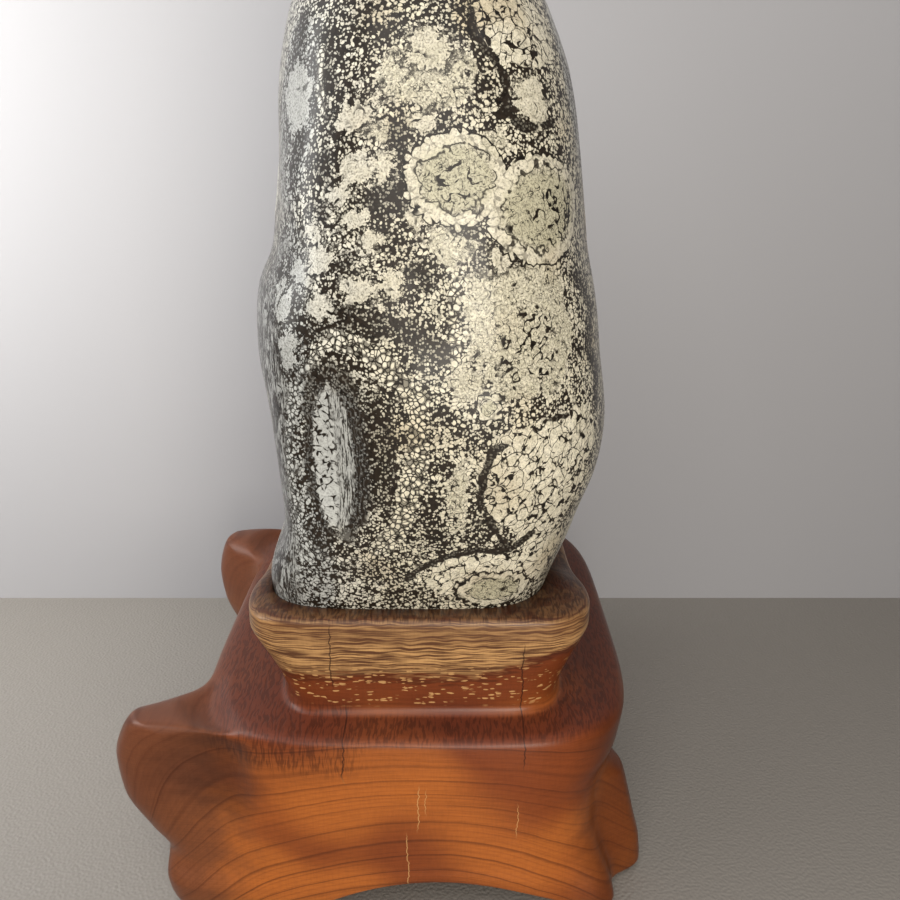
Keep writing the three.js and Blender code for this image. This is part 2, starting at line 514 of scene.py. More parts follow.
@dataclass(frozen=True)
class Pattern:
    """Where each kind of growth, and the painted glare, lies on the front of the stone."""

    flakes: tuple[Spot, ...] = spots(
        (256, 308, 9.1, 6), (262, 309, 4.8, 5.4), (253, 301, 4.5, 5.5), (256, 292, 7.1, 5),
        (260, 287, 5.3, 4.4), (246, 288, 5, 4), (249, 279, 6.5, 5.1), (243, 274, 6.8, 4.5),
        (257, 269, 7.5, 5.3), (264, 271, 7, 5.1), (262, 263, 3.8, 3.2), (248, 262, 6.4, 4.9),
        (272, 347, 8.5, 6.5), (295, 331, 7.5, 8.5), (286, 280, 9, 3.8),
        (241, 246, 5.2, 8.6), (239, 261, 5.4, 8.2), (269, 294, 3.4, 3.8), (271, 324, 5.6, 3),
        (255, 326, 7.4, 5.3), (238, 332, 9, 14), (260, 332, 2.5, 2.1))
    flowers: tuple[Spot, ...] = spots(
        (277, 306, 17, 15), (296, 295, 22, 18), (283, 226, 4.2, 4.5), (287, 147, 13.6, 8.1))
    cores: tuple[Spot, ...] = spots((277, 305, 8, 7.6), (300, 293, 11, 11), (292, 247, 12, 15))
    blocks: tuple[Spot, ...] = spots(
        (294, 197, 24, 23.8), (294, 355, 20, 14),
        (286, 153, 27, 14), (302, 210, 18, 13.4), (297, 165, 16, 12.8))
    creams: tuple[Spot, ...] = spots(
        (292, 253, 21.5, 27.3), (282, 259, 8.4, 19.8), (279, 236, 7.4, 8.5),
        (271, 339, 19.2, 12.7), (277, 193, 5.5, 19),
        (287, 232, 16.6, 6.1), (276, 284, 10.4, 10), (285, 317, 7.2, 6.5), (262, 321, 12.7, 5.3))
    sparse: tuple[Spot, ...] = spots(
        (252, 337, 15, 23.7), (273, 178, 14, 13.7), (253, 161, 14.8, 9.7),
        (237, 250, 13, 41.8), (253, 357, 20, 8.9), (281, 357, 6.9, 7.7),
        (283, 339, 8.2, 11.7), (265, 243, 15.5, 7.2))
    salts: tuple[Spot, ...] = spots(
        (262, 298, 11, 7.7), (253, 278, 8.4, 4.7), (269, 273, 7, 7.9), (247, 294, 8.2, 5.6),
        (261, 208, 8.2, 33.6), (265, 299, 6.9, 5.5), (260, 254, 18, 4.3),
        (246, 173, 9.2, 8.5), (248, 310, 7.5, 6.6), (271, 308, 4.5, 5.4))
    eyes: tuple[Spot, ...] = spots((250, 204, 9.6, 32))
    halos: tuple[Spot, ...] = spots((251, 208, 16.5, 41.7))
    # Painted glare: grey-white patches on the left flank, by the eye and one on the right
    painted_glare: tuple[Spot, ...] = spots(
        (237, 328, 16, 40), (237, 250, 18.1, 51.5), (236, 168, 24.1, 60),
        (251, 205, 15.9, 35.2), (320, 339, 12.5, 40))
    dark: tuple[Path, ...] = (
        ((246, 252), (251, 258), (256, 259), (262, 258), (267, 255), (271, 250), (274, 246)),
        ((265, 321), (265, 313), (268, 303), (271, 297), (276, 292), (280, 289)),
        ((237, 358), (236, 343), (244, 331), (239, 307)),
        ((308, 269), (314, 258), (310, 243), (315, 232), (312, 222)),
        ((246, 352), (246, 344), (249, 336)))
    borders: tuple[Path, ...] = (
        ((282, 361), (282, 353), (286, 345), (289, 338), (288, 328), (292, 322), (301, 324)),
        ((316, 219), (299, 221), (291, 217), (284, 210), (282, 200), (282, 187), (286, 175),
         (289, 167)),
        ((265, 152), (269, 159), (275, 164), (282, 167), (289, 166), (294, 173)))
    fringes: tuple[Path, ...] = (
        ((251, 251), (244, 238), (241, 226), (239, 210), (239, 193), (240, 176), (243, 167),
         (249, 161), (256, 163), (262, 171)),
        ((246, 348), (246, 339), (248, 328)),
        ((276, 269), (276, 254), (277, 244)))
    beads: tuple[Path, ...] = (
        ((252, 251), (256, 249), (261, 245), (265, 236), (269, 229), (269, 220), (269, 208),
         (267, 195), (265, 180), (261, 170)),)
    scatter: float = 9.0
    tallness: tuple[float, float] = (0.75, 1.25)

    def hidden(self, angles: tuple[float, float], heights: tuple[float, float], count: int,
               widths: tuple[float, float], seed: int) -> tuple[Spot, ...]:
        """Patches for the sides that the photograph doesn't show, strewn with a fixed seed.

        Args:
            angles: range of angles in degrees.
            heights: range of heights in mm.
            count: how many.
            widths: range of half widths in mm.
            seed: fixes the result.

        Returns:
            The patches.
        """
        rng = np.random.default_rng(seed)
        turn = np.linspace(*angles, count) + rng.uniform(-self.scatter, self.scatter, count)
        height = rng.uniform(*heights, count)
        half = rng.uniform(*widths, count)
        tall = half * rng.uniform(*self.tallness, count)
        return spots(*zip(turn.tolist(), height.tolist(), half.tolist(), tall.tolist()))


@dataclass(frozen=True)
class StoneFinish:
    """Polished dark rock full of cream crystal flowers, pebbles and flakes."""

    cream: Colour = rgb(206, 199, 177)
    pale: Colour = rgb(230, 223, 204)
    green: Colour = rgb(188, 183, 154)
    # Painted glare: the grey-white of light reflected by the flank
    painted_glare: Colour = rgb(168, 170, 168)
    # Painted colder cast of the light that falls on the left side
    painted_cold_cast: Colour = rgb(204, 202, 193)
    stain: Colour = rgb(176, 156, 120)
    dark: Colour = rgb(15, 11, 8)
    dust: Colour = rgb(52, 43, 34)

    def make(self) -> bpy.types.Material:
        """Lays the growths over each other as lightness, then colours them.

        Returns:
            The stone's material.
        """
        b = Bench("stone_finish")
        p = b.place()
        x, _, _ = b.along(p)
        slow = b.bent(p, 9.0, 3.4)
        crinkled = b.bent(slow, 2.4, 1.2, 0.0)
        fine = b.bent(p, 1.3, 0.7, 0.0)
        patchy = b.cloud(p, 6.5, 1.0) - 0.5
        lumpy = b.cloud(p, 2.4, 1.0) - 0.5
        gritty = b.cloud(p, 0.7, 1.0, 0.6) - 0.5
        pebbles = b.cells(crinkled, 1.9)
        grains = b.cells(fine, 0.95)
        # Knots are upright, and slanting plates inside the blocks
        across, deep, up = b.along(b.bent(slow, 3.6, 3.0))
        leaning = b.point(across * 0.66 - up * 0.42, deep * 0.78, across * 0.26 + up * 0.41)
        block = b.share("block") + patchy * 0.9
        knots = b.cells(b.tint(block.rise(0.3, 0.301), slow, leaning), 3.6)
        speckle = (gritty * 2.4 + 0.86).least(1.0).most(0.3)
        # Ground: round pebbles, as many as the cover lets through, with grains between them
        cover = b.share("cream") * 0.2 - b.share("sparse") * 0.16 + 0.72 + patchy * 1.2
        chosen = (cover - pebbles.tone).rise(-0.03, 0.03) * pebbles.gap.rise(0.04, 0.2)
        pebble = chosen * (pebbles.middle - cover - 0.1).fall(-0.15, 0.1)
        grain = (cover * 0.8 - grains.tone).rise(-0.05, 0.05) * grains.middle.fall(0.42, 0.6) * 0.8
        light = pebble.most(grain)
        # Cream: close-grained crystal crossed by fine wandering veins
        vein = (b.cloud(slow, 2.4, 1.0) - 0.5).size()
        veined = 1.0 - vein.fall(0.012, 0.03) * (lumpy + 0.12).rise(0.0, 0.12) * 0.9
        close_grain = speckle * (grains.middle.fall(0.4, 0.6) * 0.25 + 0.75) * veined
        creamy = (b.share("cream") + patchy * 1.6 + lumpy).rise(0.55, 0.75)
        light = b.blend(creamy, light, close_grain)
        # Salt: dark zones with fine pale grains
        salt_zone = (b.share("salt") + patchy * 1.2 + lumpy * 0.8).rise(0.42, 0.6)
        salt = (0.46 - grains.tone).rise(-0.1, 0.1) * grains.middle.fall(0.36, 0.56) * 0.56
        light = b.blend(salt_zone, light, salt)
        # Blocks: slanting cream slabs parted by dark cracks that come and go
        crack = lumpy * 4.6 + patchy * 2.6 - 0.4
        hairline = ((pebbles.gap - lumpy * 0.9) / 0.12).rise(0.0, 1.0) * 0.36 + 0.64
        worm = (b.cloud(slow, 4.8, 0.0) - 0.5).size()
        curl = (worm - (lumpy * 0.22 + 0.004)).fall(0.0, 0.012)
        slab = ((knots.gap * 1.28 - crack.most(0.03)) / 0.2).rise(0.0, 1.0)
        slab = slab * hairline * (gritty * 1.6 + 0.95).least(1.0) * (1.0 - curl)
        light = b.blend(block.rise(0.32, 0.42), light, slab)
        # Left flank: upright streaks
        flank = (patchy * 16.0 - x).rise(28.0, 38.0)
        brushed = b.cloud(b.stretched(fine, (0.55, 0.7, 7.0)), 1.0, 1.0)
        light = b.blend(flank, light, (brushed + patchy * 0.5).rise(0.48, 0.62) * 0.68)
        # Halo and eye: faint rings around a pale blob, pebbled on one side, brushed on the other
        eye = b.share("eye")
        halo = (b.share("halo") + patchy * 0.35).rise(0.04, 0.2)
        rings = (eye * 6.0 + patchy * 4.0 + lumpy).part().rise(0.7, 0.95)
        rings = rings * (eye + 0.7).rise(0.0, 0.5) * 0.16
        light = b.blend(halo, light, (salt * (eye.fall(-1.0, -0.4) * 0.8 + 0.6)).most(rings))
        side = (b.share("eye_side") + lumpy * 0.5).rise(0.0, 0.25)
        pebbled = ((knots.gap - lumpy * 2.0) / 0.3).rise(0.0, 1.0) * (gritty + 0.9).least(1.0)
        inner = b.blend(side, pebbled, brushed.rise(0.34, 0.6) * 0.8)
        light = b.blend((eye + lumpy * 0.5).rise(0.04, 0.12), light, inner)
        # Fringe: a string of bright pebbles
        string = (b.share("fringe") + lumpy * 3.0).fall(1.4, 2.0)
        bead = pebbles.gap.rise(0.08, 0.22) * (pebbles.middle.fall(0.75, 1.0) * 0.7 + 0.3)
        light = b.blend(string, light, bead)
        # Flakes: white speckled crystals with lobed edges, apart from each other on a dark ground
        lobed = b.share("flake") + (pebbles.tone - 0.5) * 1.8 + patchy * 11.0
        lobed = lobed + lumpy * 8.0 + gritty * 4.0 - 0.5
        light = light * (1.0 - lobed.rise(-2.6, -1.6) * 0.85)
        light = light.most(lobed.rise(-2.2, -1.4) * salt)
        light = light.most(lobed.rise(-0.1, 0.1) * speckle * 0.88)
        # Flowers: a rim of bright lumps between dark lines around a greenish heart
        flower = b.share("flower") + knots.gap * 1.4 + lumpy * 2.0 + patchy * 2.0
        rim = ((knots.gap - lumpy * 2.0) / 0.3).rise(0.0, 1.0) * 0.46 + 0.46
        heart = speckle * veined * 0.86
        ring = b.share("flower_heart") * 12.0 + patchy * 9.0 + lumpy * 4.0 - 3.0
        rim = b.blend(ring.rise(-0.2, 0.2), rim * (gritty * 2.0 + 0.98).least(1.0), heart)
        rim = rim * (1.0 - ring.size().fall(0.25, 0.6) * (lumpy + 0.15).rise(0.0, 0.1) * 0.9)
        light = b.blend(flower.rise(-1.1, -0.8), light, rim * flower.rise(-0.2, 0.2))
        # Cores: worm-like dark marks
        core = (b.share("core") + patchy * 2.0).rise(0.1, 0.4)
        mark = (b.cloud(crinkled, 5.6, 1.0) - 0.5).size() - (lumpy * 0.16 + 0.024)
        light = light * (1.0 - mark.fall(0.0, 0.012) * core)
        # Borders: branching dark bands
        band = b.share("border") + lumpy * 2.4 + patchy * 2.4
        light = b.blend(band.fall(1.3, 1.7), light, salt * 0.3)
        return self._colour(b, p, light, pebbles.tone, grains.tone, patchy)

    def _colour(self, b: Bench, p: Wire, light: Wire, pebble: Wire, grain: Wire,
                patchy: Wire) -> bpy.types.Material:
        """Turns lightness into cream, green and stained rock, with painted glare, a painted colder
        cast and painted shade on the left.

        Args:
            b: the bench.
            p: the point in mm.
            light: 0 for the dark matrix, 1 for crystal.
            pebble, grain: a tone for each pebble and for each grain.
            patchy: slow noise around 0.

        Returns:
            The finished material.
        """
        x, _, _ = b.along(p)
        wide = b.cloud(p, 26.0, 0.0)
        heart = b.share("flower_heart").rise(0.1, 0.4) * 0.7
        stain = ((wide - 0.5) * 2.0 + b.share("sparse") * 0.5).rise(0.15, 0.8)
        greenish = heart.most((b.share("cream") + patchy).rise(0.5, 1.0) * 0.25)
        crystal = b.tints(
            b.tint(pebble * 0.6, self.cream, self.pale),
            (stain * 0.5, self.stain),
            (greenish, self.green),
            # Painted colder cast: crystal turns greyer towards the left side
            ((patchy * 24.0 - x).rise(-14.0, 22.0) * 0.75, self.painted_cold_cast))
        # Painted shade: crystal a tenth darker on the far left
        crystal = b.shade(crystal, x.rise(-44.0, -30.0) * 0.1 + 0.9)
        # Painted glare: crystal turns grey-white where the glare patches lie
        crystal = b.tint((b.share("painted_glare") + patchy * 0.4).rise(0.1, 0.9) * 0.8, crystal, self.painted_glare)
        crystal = b.shade(crystal, grain * 0.2 + 0.86)
        matrix = b.tint(grain * 0.55, self.dark, self.dust)
        colour = b.tint(light, matrix, crystal)
        return b.close(colour, 0.35 - light * 0.05, b.cloud(p, 0.9, 1.0), 0.07, IOR=1.4,
                       Coat_Weight=0.14, Coat_Roughness=0.12, Specular_IOR_Level=0.28)


@dataclass
class Stone:
    """The upright slab: a closed surface, its reach around an axis given at ten heights."""

    axis_x: float = 20.0
    bottom: float = 104.0
    top: float = 397.0
    widest: float = 215.0
    foot_power: float = 6.0
    crown_power: float = 3.6
    plan: tuple[tuple[float, ...], ...] = (
        (104, 71, 49, 84, 84, 5, 4),
        (140, 71, 56.5, 90, 90, 5.5, 4),
        (165, 62.5, 65.5, 96, 95, 5, 3.6),
        (190, 63.5, 75, 101, 98, 4.2, 3.4),
        (212, 67, 77, 103, 99, 3.6, 3.2),
        (240, 71, 73.5, 102, 99, 3.3, 3.1),
        (262, 71, 70, 101, 98, 3.0, 3.0),
        (282, 63.5, 66.5, 99.5, 96, 3.0, 3.0),
        (330, 62.5, 64, 96, 93, 2.9, 2.9),
        (397, 69, 55, 92, 88, 2.7, 2.7))
    hollow_angle: float = 249.0
    hollow_height: float = 205.0
    hollow_half_angle: float = 8.0
    hollow_half_height: float = 29.0
    hollow_depth: float = 6.0
    hollow_power: float = 2.6
    patch_thickness: float = 30.0
    flake_gap: float = 2.6
    bead_half: float = 2.2
    halo_depth: float = 16.0
    salt_ease: float = 7.0
    dark_edge: tuple[float, float] = (-5.6, -2.0)
    core_edge: tuple[float, float] = (-1.0, 3.0)
    flower_rise: float = 0.25
    flake_rise: float = 0.15
    border_sink: float = 0.3
    relief_starts: tuple[float, float] = (140.0, 158.0)
    around: int = 440
    upward: int = 222
    to_the_ends: float = 0.72
    to_the_front: float = 0.34
    pattern: Pattern = field(default_factory=Pattern)

    def radius(self, angle: Array, z: Array) -> Array:
        """Distance from the axis to the surface.

        Formula: the oblong of that height, drawn in by a rounded crown and foot, less a long
        bell-shaped hollow at the front left.

        Args:
            angle: direction around the axis, radians.
            z: height in mm.

        Returns:
            Radius in mm.
        """
        above = np.clip((z - self.widest) / (self.top - self.widest), 0.0, 1.0)
        below = np.clip((self.widest - z) / (self.widest - self.bottom), 0.0, 1.0)
        crown = (1.0 - above ** self.crown_power) ** (1.0 / self.crown_power)
        foot = (1.0 - below ** self.foot_power) ** (1.0 / self.foot_power)
        rows = np.moveaxis(through_rows(np.array(self.plan), z), -1, 0)
        sideways = turn_between(angle, math.radians(self.hollow_angle))
        sideways = sideways / math.radians(self.hollow_half_angle)
        tall = (z - self.hollow_height) / self.hollow_half_height
        worn = np.exp(-np.abs(sideways) ** self.hollow_power - np.abs(tall) ** self.hollow_power)
        return oblong(angle, *rows) * crown * foot - self.hollow_depth * worn

    def surface(self, angle: Array, z: Array) -> Array:
        """Points of the surface at those angles and heights."""
        r = self.radius(angle, z)
        return np.stack([self.axis_x + r * np.cos(angle), r * np.sin(angle), z], -1)

    def spot_depth(self, points: Array, spot: Spot) -> Array:
        """How deep each point lies inside a patch, in mm, negative outside it.

        Formula: the patch is an ellipse in the plane that touches the stone there, and a point's
        depth is one less its elliptical radius, times the smaller half size.

        Args:
            points: places on the stone, mm.
            spot: the patch.

        Returns:
            The depth of each point.
        """
        angle = math.radians(spot.angle)
        centre = self.surface(np.array([angle]), np.array([float(spot.height)]))[0]
        across = np.array([-math.sin(angle), math.cos(angle), 0.0])
        outward = np.array([math.cos(angle), math.sin(angle), 0.0])
        away = points - centre
        q = np.sqrt((away @ across / spot.half_width) ** 2 + (away[..., 2] / spot.half_height) ** 2
                    + (away @ outward / self.patch_thickness) ** 2)
        return (1.0 - q) * min(spot.half_width, spot.half_height)

    def path_distance(self, points: Array, paths: tuple[Path, ...]) -> Array:
        """Distance in mm from each point to the nearest of the paths drawn on the stone.

        Args:
            points: places on the stone, mm.
            paths: lines through angles in degrees and heights in mm.

        Returns:
            The least distance of each point.
        """
        nearest = np.full(points.shape[:-1], np.inf)
        for path in paths:
            turn, height = np.array(path, float).T
            corners = self.surface(np.radians(turn), height)
            for start, end in zip(corners[:-1], corners[1:]):
                step = end - start
                share = np.clip((points - start) @ step / (step @ step), 0.0, 1.0)
                gap = np.linalg.norm(points - start - share[..., None] * step, axis=-1)
                nearest = np.minimum(nearest, gap)
        return nearest

    def growths(self, points: Array) -> dict[Growth, Array]:
        """Each kind of growth, and the painted glare, at each point: depths in mm, or shares from
        0 to 1.

        Args:
            points: places on the stone, mm.

        Returns:
            One array for each attribute that the finish reads.
        """
        front = self.pattern
        behind = {
            Growth.FLOWER: front.hidden((-28, 212), (140, 365), 15, (9, 18), 3),
            Growth.CORE: front.hidden((-28, 212), (140, 365), 15, (5, 9), 3),
            Growth.BLOCK: front.hidden((-25, 210), (135, 375), 11, (15, 27), 5),
            Growth.FLAKE: front.hidden((-30, 215), (140, 380), 30, (4, 8), 8),
            Growth.CREAM: front.hidden((-30, 215), (130, 380), 14, (14, 30), 11),
            Growth.SPARSE: front.hidden((-30, 218), (130, 385), 14, (12, 26), 13),
            Growth.SALT: front.hidden((-30, 215), (140, 380), 14, (7, 13), 17),
            # Painted glare, strewn over the hidden sides as well
            Growth.PAINTED_GLARE: front.hidden((60, 215), (140, 380), 6, (20, 36), 19),
        }

        def deepest(kind: Growth, seen: tuple[Spot, ...]) -> Array:
            """The depth in mm inside the deepest patch of a kind."""
            every = (*seen, *behind.get(kind, ()))
            return np.max([self.spot_depth(points, spot) for spot in every], axis=0)

        def share(kind: Growth, seen: tuple[Spot, ...], ease: float) -> Array:
            """0 outside every patch of a kind, 1 from ease mm inside one."""
            return smooth(deepest(kind, seen), -ease * 0.5, ease)

        flakes = (*front.flakes, *behind[Growth.FLAKE])
        least, most = np.sort([self.spot_depth(points, spot) for spot in flakes], 0)[-2:]
        flake = most - np.clip(self.flake_gap - (most - least), 0.0, self.flake_gap)
        salt = np.maximum(share(Growth.SALT, front.salts, self.salt_ease),
                          smooth(-self.path_distance(points, front.dark), *self.dark_edge))
        fringe = np.minimum(self.path_distance(points, front.fringes),
                            self.path_distance(points, front.beads) - self.bead_half)
        eye, halo = front.eyes[0], self.spot_depth(points, front.halos[0])
        tilt = math.radians(eye.angle)
        centre = self.surface(np.array([tilt]), np.array([eye.height]))[0]
        rightwards = np.array([-math.sin(tilt), math.cos(tilt), 0.0])
        hearts = [self.spot_depth(points, spot) / min(spot.half_width, spot.half_height)
                  for spot in (*front.flowers, *behind[Growth.FLOWER])]
        eased = ((Growth.BLOCK, front.blocks, 6.0), (Growth.CREAM, front.creams, 4.0),
                 (Growth.SPARSE, front.sparse, 6.0), (Growth.PAINTED_GLARE, front.painted_glare, 7.0))
        return {kind: share(kind, seen, ease) for kind, seen, ease in eased} | {
            Growth.FLOWER: np.maximum(deepest(Growth.FLOWER, front.flowers), -FAR),
            Growth.HEART: np.max(hearts, axis=0),
            Growth.CORE: smooth(deepest(Growth.CORE, front.cores), *self.core_edge),
            Growth.FLAKE: np.maximum(flake, -FAR),
            Growth.SALT: salt,
            Growth.EYE: np.clip(self.spot_depth(points, eye) / eye.half_width, -1.0, 1.0),
            Growth.EYE_SIDE: (points - centre) @ rightwards / eye.half_width,
            Growth.HALO: np.maximum(halo / self.halo_depth, -0.5),
            Growth.BORDER: np.minimum(self.path_distance(points, front.borders), FAR),
            Growth.FRINGE: np.minimum(fringe, FAR),
        }

    def relief(self, points: Array, grown: dict[Growth, Array]) -> Array:
        """How far each point stands out of the plain shape, in mm.

        Formula: long waves of several directions, flowers and flakes a little proud, borders a
        little sunk; none of it below the rim of the stand.

        Args:
            points: places on the stone, mm.
            grown: what growths gave for them.

        Returns:
            The height of the relief.
        """
        x, y, z = points[..., 0], points[..., 1], points[..., 2]
        waves = (np.sin(x / 7.9 + z / 13.0 + 1.0) * np.sin(y / 9.0 - z / 21.0) * 0.35
                 + np.sin(x / 15.0 - z / 11.0) * np.cos(y / 17.0 + z / 29.0 + 0.6) * 0.5)
        flowers = smooth(grown[Growth.FLOWER], -0.5, 1.5) * self.flower_rise
        flakes = smooth(grown[Growth.FLAKE], -0.5, 1.0) * self.flake_rise
        sunk = smooth(-grown[Growth.BORDER], -2.6, -0.8) * self.border_sink
        return (waves + flowers + flakes - sunk) * smooth(z, *self.relief_starts)

    def build(self) -> bpy.types.Object:
        """Makes the stone's mesh with its growths and its painted glare as attributes.

        Formula: heights crowd towards the crown and the foot, and angles towards the front.

        Returns:
            The stone.
        """
        v = np.linspace(0.0, 1.0, self.upward + 2)[1:-1]
        lift = -np.cos(math.pi * v)
        spread = np.sign(lift) * np.abs(lift) ** self.to_the_ends
        above, below = self.top - self.widest, self.widest - self.bottom
        z = self.widest + spread * np.where(spread > 0, above, below)
        u = np.linspace(0.0, TURN, self.around, endpoint=False)
        angle = u + self.to_the_front * np.cos(u)
        turn, height = np.meshgrid(angle, z)
        points = self.surface(turn, height)
        grown = self.growths(points)
        outward = np.stack([np.cos(turn), np.sin(turn), np.zeros_like(turn)], -1)
        points = points + outward * self.relief(points, grown)[..., None]
        low = np.array([self.axis_x, 0.0, self.bottom])
        high = np.array([self.axis_x, 0.0, self.top])
        made = closed_skin("flower_stone", points, low, high)
        for kind, values in grown.items():
            first, last = float(values[0].mean()), float(values[-1].mean())
            write_share(made, kind.value, values, first, last)
        made.data.materials.append(StoneFinish().make())
        return made


# Stand


@dataclass(frozen=True)
class Ring:
    """One closed ring of the stand's skin, in millimetres around its axis."""

    height: float
    left: float
    right: float
    front: float
    back: float
    square: float
    lift: float = 0.0
    draw_in: float = 0.0
    drop: float = 0.0


@dataclass(frozen=True)
class Lobe:
    """A carved knob or foot: where it grows, how wide and blunt, which way, and how far."""

    angle: float
    half: float
    power: float
    way: float
    out: tuple[tuple[int, float], ...]
    up: tuple[tuple[int, float], ...] = ()


@dataclass(frozen=True)
class WoodFinish:
    """Varnished heartwood with arched rings, a pale band of sapwood near the top, and checks."""

    heart: Colour = rgb(118, 58, 27)
    glow: Colour = rgb(162, 90, 38)
    # Latewood brown, also used for painted shade on the right lobe
    late: Colour = rgb(70, 33, 17)
    red: Colour = rgb(86, 40, 26)
    # Painted glare: the washed-out pinkish brown of the left side and knob
    pink_glare: Colour = rgb(96, 57, 38)
    sap: Colour = rgb(190, 147, 96)
    bark: Colour = rgb(86, 56, 36)
    pore: Colour = rgb(40, 19, 13)
    # Checks: x, lowest and highest z, and half width
    checks: tuple[tuple[float, float, float, float], ...] = (
        (-19.0, 104, 135, 0.3), (-13.5, 72, 95, 0.32), (16.5, 48, 70, 0.2), (19.5, 56, 68, 0.14),
        (12.0, 18, 46, 0.2), (59.5, 78, 126, 0.3), (57.5, 44, 60, 0.16))

    def make(self) -> bpy.types.Material:
        """Rings, zones of colour with painted glare and shade among them, pores and cracks, from
        the place in the block.

        Returns:
            The wood's material.
        """
        b = Bench("wood_finish")
        p = b.place()
        x, y, z = b.along(p)
        rim, ledge, cleft_shade = b.share("rim"), b.share("ledge"), b.share("cleft_shade")
        swell = b.cloud(b.stretched(p, (1.0, 2.5, 1.0)), 60.0, 0.0) - 0.5
        ripple = b.cloud(b.stretched(p, (1.4, 4.0, 0.6)), 8.0, 1.0) - 0.5
        loose = b.bent(p, 9.0, 2.2)
        # Rings: height above arched surfaces that flatten towards the top
        bow = z.fall(20.0, 100.0) * 0.0034 + 0.0009
        level = z + (x - 14.0) * (x - 14.0) * bow + swell * 7.0 + ripple * 0.7
        uneven = b.cloud(b.point(0.0, 0.0, level), 13.0, 1.0) - 0.5
        age = (level / 7.4 + uneven * 1.6).part()
        bold = b.cloud(b.point(0.0, 0.0, level), 9.0, 0.0).rise(0.35, 0.6) * 0.7 + 0.3
        late = age.rise(0.6, 0.96) * age.rise(0.75, 0.96) * age.fall(0.96, 1.0) * bold
        faint = (level / 2.3 + uneven * 3.0).part()
        # Heartwood of the panel, from orange to red, with painted glare on the left and painted
        # shade on the right lobe and in the crease by the knob
        wide = b.cloud(b.stretched(p, (1.6, 1.0, 1.0)), 46.0, 1.0)
        lines = b.cloud(b.stretched(b.point(x, y, level), (60.0, 60.0, 0.8)), 1.0, 2.0, 0.6)
        colour = b.tints(
            b.tint((wide - z * 0.0012 + 0.06).rise(0.38, 0.62), self.heart, self.glow),
            ((z - x * 0.08 + swell * 36.0).rise(70.0, 102.0) * 0.72, self.red),
            # Painted glare: the left side and knob turn a duller pinkish brown
            ((ripple * 24.0 - x).rise(45.0, 80.0) * 0.85, self.pink_glare),
            # Painted shade: the right lobe darkened towards latewood brown
            ((ripple * 10.0 + x).rise(76.0, 98.0) * 0.7, self.late),
            (late * 0.68, self.late),
            (faint.rise(0.5, 1.0) * 0.14 + lines.rise(0.5, 0.75) * 0.22, self.late),
            (ledge * 0.7, self.red),
            # Painted shade in the crease between the knob and the body
            ((cleft_shade + ripple * 0.6).rise(0.1, 1.0) * 0.5, self.pore))
        # Sapwood: golden streaks above a ragged edge, with flecks under it
        ragged = z + b.cloud(b.stretched(p, (6.0, 6.0, 1.0)), 2.0, 2.0, 0.65) * 16.0 - 8.0
        ragged = ragged - x.rise(38.0, 78.0) * 12.0
        streaks = b.cloud(b.stretched(loose, (24.0, 24.0, 0.8)), 1.0, 2.0, 0.7)
        sapwood = b.tints(
            b.tint(streaks.rise(0.4, 0.58), self.sap, self.bark),
            ((z + swell * 12.0).fall(111.0, 118.0) * 0.45, self.bark),
            ((z + swell * 10.0).rise(123.0, 131.0) * 0.5, self.bark))
        flecks = b.cells(b.stretched(loose, (2.8, 2.8, 0.8)), 1.0, 0.8)
        few = (b.cloud(b.stretched(p, (9.0, 9.0, 1.6)), 1.0, 1.0) - 0.5) * 0.9 + 0.16
        fleck = (few - flecks.tone).rise(0.0, 0.03) * z.rise(94.0, 97.0) * z.fall(112.0, 118.0)
        fleck = fleck * flecks.middle.fall(0.46, 0.62) * (1.0 - ledge)
        colour = b.tints(
            colour,
            (z.rise(95.0, 103.0) * z.fall(116.0, 120.0) * (1.0 - ledge) * 0.55, self.heart),
            (ragged.rise(108.0, 112.0) * 0.92, sapwood),
            (ragged.rise(105.5, 108.0) * ragged.fall(108.5, 110.0) * 0.45, self.pore),
            (fleck * 0.8, self.sap),
            (rim * 0.8, b.tint(streaks.rise(0.35, 0.7), self.bark, self.late)))
        # Pores: comb-like strokes along the log on tops, hardly any on the panel
        strokes = b.cloud(b.stretched(loose, (0.9, 5.0, 6.0)), 1.0, 1.0).rise(0.45, 0.6)
        combed = z.rise(72.0, 80.0) * z.fall(92.0, 98.0)
        combed = combed * (ripple * 20.0 - x).rise(4.0, 20.0) * x.rise(-78.0, -60.0)
        pores = strokes * (ledge.most(combed) * 0.42 + rim * 0.6 + 0.06)
        fibre = b.cloud(b.stretched(p, (7.0, 9.0, 0.4)), 1.0, 1.0)
        colour = b.shade(b.tint(pores, colour, self.pore), fibre * 0.36 + 0.82)
        inside = b.tint(z.rise(68.0, 76.0), self.sap, self.pore)
        colour = b.tint(self._cracks(b, x, y, z) * 0.75, colour, inside)
        tops = ledge.most(rim)
        rough = fibre * 0.12 + (tops * 0.1 + 0.26)
        height = 1.0 - strokes * (tops * 0.25 + 0.04)
        return b.close(colour, rough, height, 0.12, IOR=1.4, Specular_IOR_Level=0.33)

    def _cracks(self, b: Bench, x: Wire, y: Wire, z: Wire) -> Wire:
        """Thin upright drying checks in the front of the block.

        Args:
            b: the bench.
            x, y, z: coordinates in mm.

        Returns:
            1 in a check, 0 elsewhere.
        """
        wander = (b.cloud(b.point(0.0, 0.0, z), 9.0, 3.0, 0.7) - 0.5) * 5.0
        found: Wire | None = None
        for place, low, high, half in self.checks:
            near = (x - place + wander).size().fall(half * 0.5, half * 1.3)
            here = near * z.rise(low - 2.0, low + 4.0) * z.fall(high - 4.0, high + 2.0)
            found = here if found is None else found.most(here)
        return found * y.fall(-88.0, -80.0)


